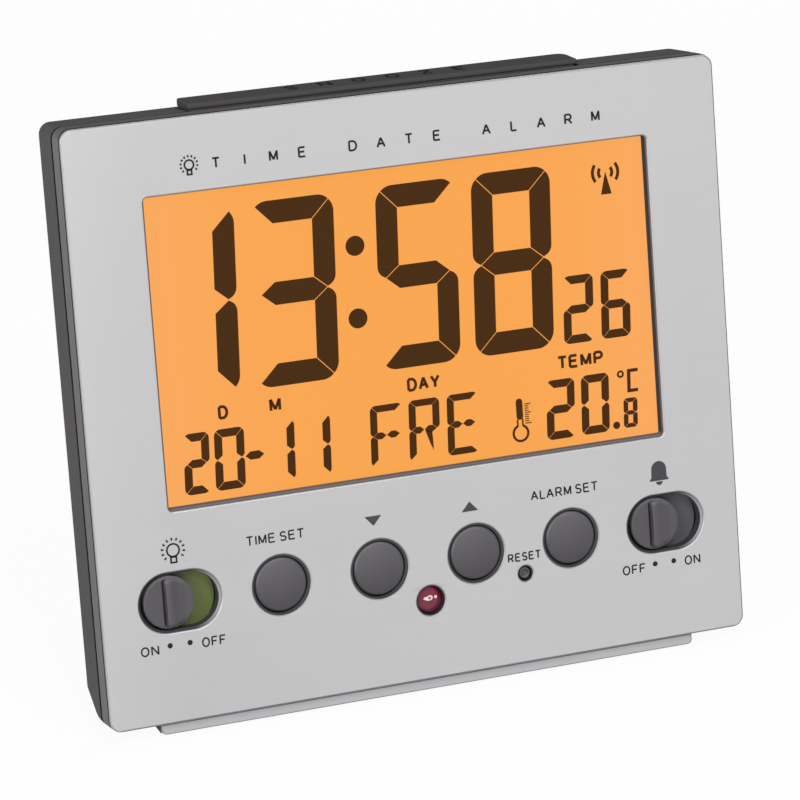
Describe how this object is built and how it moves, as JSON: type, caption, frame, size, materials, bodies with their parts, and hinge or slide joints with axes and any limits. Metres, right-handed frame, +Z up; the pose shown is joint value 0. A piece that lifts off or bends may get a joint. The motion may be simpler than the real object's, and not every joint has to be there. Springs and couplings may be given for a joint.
{
  "type": "radio-controlled alarm clock",
  "caption": "Free-standing alarm clock that leans back: silver front plate with a lit orange display, round push buttons, slide switches, a snooze bar on top and a battery box behind.",
  "frame": {"origin": "on the table, under the middle of the clock's width and depth", "axes": "+X to the right as seen by a reader of the display, +Y to the back, +Z up"},
  "size_m": [0.1, 0.04, 0.0875],
  "materials": {
    "silver_sheet": "fine horizontal brushing",
    "silver_trim": "silver paint",
    "housing_grey": "satin moulded",
    "case_dark": "fine grain",
    "button_grey": "satin moulded",
    "slide_green": "satin moulded",
    "slide_dark": "satin moulded",
    "display": "lit from behind, anti-glare",
    "clear_plastic": "polished",
    "white_plastic": "moulded",
    "lens_red": "polished",
    "circuit_board": "solder mask",
    "black_plastic": "moulded",
    "ferrite": "pressed powder",
    "copper_wire": "enamelled winding",
    "cell_jacket": "printed jacket, no print",
    "steel": "plated",
    "rubber": "matt"
  },
  "bodies": {
    "clock": {"front_plate": "silver_sheet", "front_housing": "housing_grey", "rear_cover": "case_dark", "base": "case_dark", "foot_trim": "silver_trim", "pad_front_left": "rubber", "pad_front_right": "rubber", "pad_rear_left": "rubber", "pad_rear_right": "rubber", "lcd_panel": "display", "light_guide": "clear_plastic", "lcd_holder": "white_plastic", "contact_strip": "rubber", "left_lamp": "white_plastic", "right_lamp": "white_plastic", "main_board": "circuit_board", "receiver_board": "circuit_board", "controller_chip": "black_plastic", "crystal": "steel", "capacitor": "black_plastic", "buzzer": "black_plastic", "thermistor": "black_plastic", "light_sensor": "black_plastic", "sensor_lens": "lens_red", "ferrite_rod": "ferrite", "antenna_coil": "copper_wire", "time_button_switch": "black_plastic", "down_button_switch": "black_plastic", "up_button_switch": "black_plastic", "alarm_button_switch": "black_plastic", "reset_switch": "black_plastic", "snooze_switch": "black_plastic", "light_switch_body": "black_plastic", "alarm_switch_body": "black_plastic", "cell_lower": "cell_jacket", "cell_upper": "cell_jacket", "plus_contact_lower": "steel", "plus_contact_upper": "steel", "minus_spring_lower": "steel", "minus_spring_upper": "steel", "case_screw_top_left": "steel", "case_screw_top_right": "steel", "case_screw_bottom_left": "steel", "case_screw_bottom_right": "steel", "base_screw_left": "steel", "base_screw_right": "steel", "board_screw_left": "steel", "board_screw_right": "steel", "board_screw_low": "steel"},
    "time_button": {"time_button": "button_grey"},
    "down_button": {"down_button": "button_grey"},
    "up_button": {"up_button": "button_grey"},
    "alarm_button": {"alarm_button": "button_grey"},
    "reset_button": {"reset_button": "button_grey"},
    "snooze_bar": {"snooze_bar": "case_dark"},
    "light_slider": {"light_knob": "button_grey", "light_slide_plate": "slide_green"},
    "alarm_slider": {"alarm_knob": "button_grey", "alarm_slide_plate": "slide_dark"},
    "battery_door": {"battery_door": "case_dark"}
  },
  "joints": [
    {"name": "time_press", "type": "slide", "parent": "clock", "child": "time_button", "axis": [0, 0.9816, -0.1908], "range_m": [0, 0.0006], "stiffness_N_per_m": 400, "springref_m": -0.0004},
    {"name": "down_press", "type": "slide", "parent": "clock", "child": "down_button", "axis": [0, 0.9816, -0.1908], "range_m": [0, 0.0006], "stiffness_N_per_m": 400, "springref_m": -0.0004},
    {"name": "up_press", "type": "slide", "parent": "clock", "child": "up_button", "axis": [0, 0.9816, -0.1908], "range_m": [0, 0.0006], "stiffness_N_per_m": 400, "springref_m": -0.0004},
    {"name": "alarm_press", "type": "slide", "parent": "clock", "child": "alarm_button", "axis": [0, 0.9816, -0.1908], "range_m": [0, 0.0006], "stiffness_N_per_m": 400, "springref_m": -0.0004},
    {"name": "reset_press", "type": "slide", "parent": "clock", "child": "reset_button", "axis": [0, 0.9816, -0.1908], "range_m": [0, 0.0004], "stiffness_N_per_m": 200, "springref_m": -0.0003},
    {"name": "snooze_press", "type": "slide", "parent": "clock", "child": "snooze_bar", "axis": [0, -0.1908, -0.9816], "range_m": [0, 0.0007], "stiffness_N_per_m": 400, "springref_m": -0.0005},
    {"name": "light_slide", "type": "slide", "parent": "clock", "child": "light_slider", "axis": [1, 0, 0], "range_m": [0, 0.0032]},
    {"name": "alarm_slide", "type": "slide", "parent": "clock", "child": "alarm_slider", "axis": [1, 0, 0], "range_m": [0, 0.0032]},
    {"name": "door_pull", "type": "slide", "parent": "clock", "child": "battery_door", "axis": [0, 1, 0], "range_m": [0, 0.012]}
  ]
}
